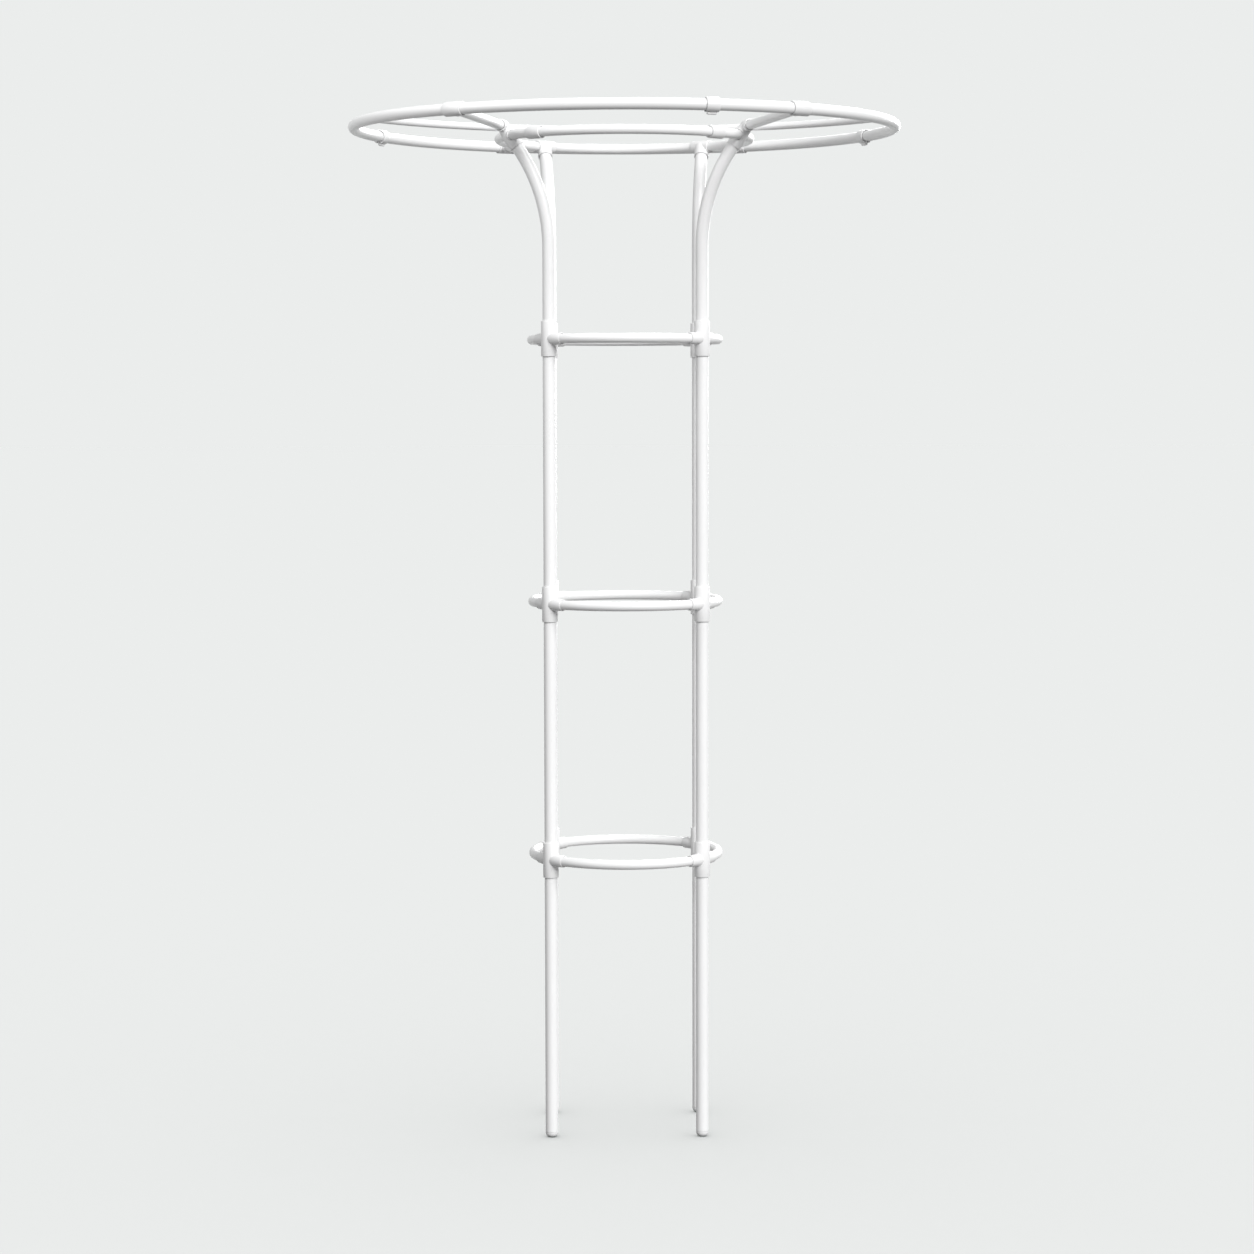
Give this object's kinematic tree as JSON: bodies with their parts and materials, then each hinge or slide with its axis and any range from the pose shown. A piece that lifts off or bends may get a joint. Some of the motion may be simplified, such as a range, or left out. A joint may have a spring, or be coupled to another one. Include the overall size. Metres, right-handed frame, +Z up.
{
  "type": "double-ring plant support",
  "caption": "Free-standing plant support: a column of tube posts tied by level rings, flaring at the top into an inner and a wide outer ring on spokes, with sliding clips.",
  "frame": {"origin": "on the ground, in the middle of the four feet and under the axis of the rings", "axes": "+Z up along the column's axis, the front with the two elbows faces -Y, +X to the right seen from the front"},
  "size_m": [0.696, 0.6953, 1.2836],
  "materials": {
    "coated_tube": "white coating, satin gloss",
    "brace": "white coating, satin gloss",
    "fitting": "white moulded plastic, satin",
    "foot": "white moulded plastic, satin",
    "clip": "white moulded plastic, satin"
  },
  "bodies": {
    "frame": {"post_front_left": "coated_tube", "post_front_right": "coated_tube", "post_rear_left": "coated_tube", "post_rear_right": "coated_tube", "post_top_front_left": "coated_tube", "post_top_front_right": "coated_tube", "post_top_rear_left": "coated_tube", "post_top_rear_right": "coated_tube", "ring_lower_front": "coated_tube", "ring_lower_rear": "coated_tube", "ring_lower_left": "coated_tube", "ring_lower_right": "coated_tube", "ring_middle_front": "coated_tube", "ring_middle_rear": "coated_tube", "ring_middle_left": "coated_tube", "ring_middle_right": "coated_tube", "ring_upper_front": "coated_tube", "ring_upper_rear": "coated_tube", "ring_upper_left": "coated_tube", "ring_upper_right": "coated_tube", "outer_ring_front": "coated_tube", "outer_ring_rear": "coated_tube", "outer_ring_left": "coated_tube", "outer_ring_right": "coated_tube", "spoke_front_left": "coated_tube", "spoke_front_right": "coated_tube", "spoke_rear_left": "coated_tube", "spoke_rear_right": "coated_tube", "inner_ring_front": "coated_tube", "inner_ring_rear": "coated_tube", "brace_bow": "brace", "connector_lower_front_left": "fitting", "connector_lower_front_right": "fitting", "connector_lower_rear_left": "fitting", "connector_lower_rear_right": "fitting", "connector_middle_front_left": "fitting", "connector_middle_front_right": "fitting", "connector_middle_rear_left": "fitting", "connector_middle_rear_right": "fitting", "connector_upper_front_left": "fitting", "connector_upper_front_right": "fitting", "connector_upper_rear_left": "fitting", "connector_upper_rear_right": "fitting", "outer_tee_front_left": "fitting", "outer_tee_front_right": "fitting", "outer_tee_rear_left": "fitting", "outer_tee_rear_right": "fitting", "head_elbow_left": "fitting", "head_elbow_right": "fitting", "inner_tee_left": "fitting", "inner_tee_right": "fitting", "inner_ring_sleeve_left": "fitting", "inner_ring_sleeve_right": "fitting", "foot_plug_front_left": "foot", "foot_plug_front_right": "foot", "foot_plug_rear_left": "foot", "foot_plug_rear_right": "foot"},
    "clip_front": {"ring_clip_front": "clip"},
    "clip_right": {"ring_clip_right": "clip"},
    "clip_left": {"ring_clip_left": "clip"}
  },
  "joints": [
    {"name": "clip_front_slide", "type": "hinge", "parent": "frame", "child": "clip_front", "pos_m": [0, 0, 1.275], "axis": [0, 0, 1], "range_deg": [-45, 15]},
    {"name": "clip_right_slide", "type": "hinge", "parent": "frame", "child": "clip_right", "pos_m": [0, 0, 1.275], "axis": [0, 0, 1], "range_deg": [-38, 25]},
    {"name": "clip_left_slide", "type": "hinge", "parent": "frame", "child": "clip_left", "pos_m": [0, 0, 1.275], "axis": [0, 0, 1], "range_deg": [-25, 38]}
  ]
}
